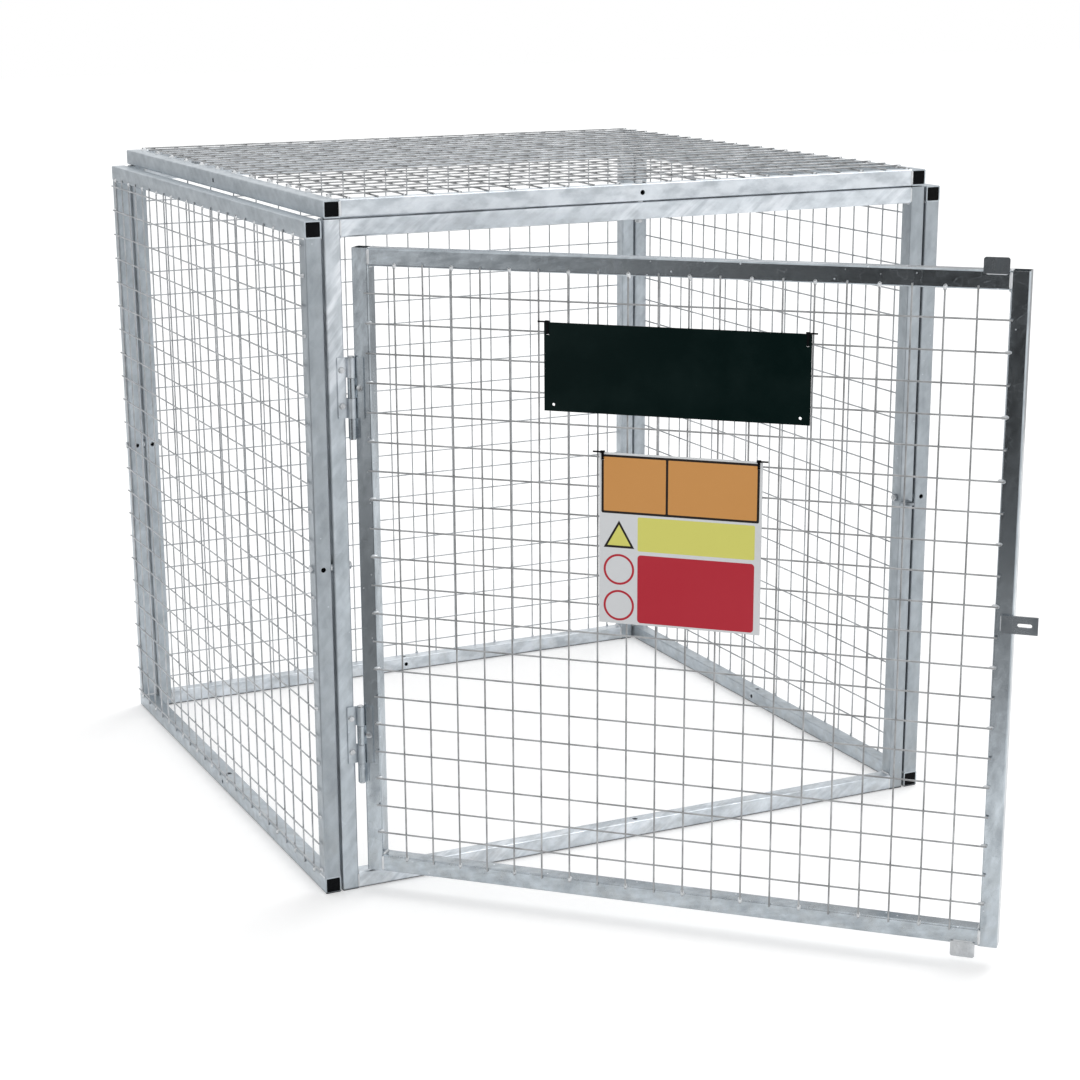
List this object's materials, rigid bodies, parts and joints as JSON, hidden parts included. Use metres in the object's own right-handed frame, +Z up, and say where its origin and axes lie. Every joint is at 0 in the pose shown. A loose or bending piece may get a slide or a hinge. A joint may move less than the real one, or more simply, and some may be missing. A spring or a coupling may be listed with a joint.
{
  "type": "collapsible gas cylinder cage",
  "caption": "Knock-down cage for standing gas cylinders: bolted square-tube and wire-mesh panels, open floor, hinged mesh door with hasp, padlock tongue, blank black plate and colour board.",
  "frame": {"origin": "On the floor in the mouth of the upright bolt hole at the middle of the front bottom rail", "axes": "+X to the right along the front, +Y from the front to the back, +Z up"},
  "size_m": [1.2802, 2.0161, 1.2381],
  "materials": {
    "tube_steel": "galvanised, satin",
    "mesh_steel": "galvanised wire",
    "zinc_steel": "zinc plated",
    "black_plastic": "matt",
    "black_gloss": "gloss",
    "board_white": "gloss"
  },
  "bodies": {
    "cage": {"front_upright_left": "tube_steel", "front_upright_right": "tube_steel", "front_top_rail": "tube_steel", "front_bottom_rail": "tube_steel", "back_upright_left": "tube_steel", "back_upright_right": "tube_steel", "back_top_rail": "tube_steel", "back_bottom_rail": "tube_steel", "left_top_rail": "tube_steel", "left_bottom_rail": "tube_steel", "left_front_upright": "tube_steel", "left_rear_upright": "tube_steel", "right_top_rail": "tube_steel", "right_bottom_rail": "tube_steel", "right_front_upright": "tube_steel", "right_rear_upright": "tube_steel", "roof_left_rail": "tube_steel", "roof_right_rail": "tube_steel", "roof_front_rail": "tube_steel", "roof_rear_rail": "tube_steel", "left_mesh": "mesh_steel", "right_mesh": "mesh_steel", "back_mesh": "mesh_steel", "roof_mesh": "mesh_steel", "left_end_plugs": "black_plastic", "right_end_plugs": "black_plastic", "roof_end_plugs": "black_plastic", "corner_bolts": "zinc_steel", "corner_nuts": "zinc_steel", "corner_spacers": "zinc_steel", "roof_bolts": "zinc_steel", "roof_nuts": "zinc_steel", "roof_spacers": "zinc_steel", "upper_hinge_frame_leaf": "tube_steel", "upper_hinge_pin": "zinc_steel", "lower_hinge_frame_leaf": "tube_steel", "lower_hinge_pin": "zinc_steel", "hinge_frame_bolts": "zinc_steel", "lock_staple": "tube_steel"},
    "door": {"door_hinge_stile": "tube_steel", "door_lock_stile": "tube_steel", "door_top_rail": "tube_steel", "door_bottom_rail": "tube_steel", "door_mesh": "mesh_steel", "upper_hinge_door_leaf": "tube_steel", "lower_hinge_door_leaf": "tube_steel", "hinge_door_bolts": "zinc_steel", "hasp_plate": "tube_steel", "door_stop_top": "tube_steel", "door_stop_bottom": "tube_steel", "black_plate": "black_gloss", "hazard_board": "board_white", "sign_ties": "black_plastic"}
  },
  "joints": [
    {"name": "door_swing", "type": "hinge", "parent": "cage", "child": "door", "pos_m": [-0.561, -0.0225, 0.59], "axis": [0, 0, -1], "range_deg": [-43.8, 126.2]}
  ]
}
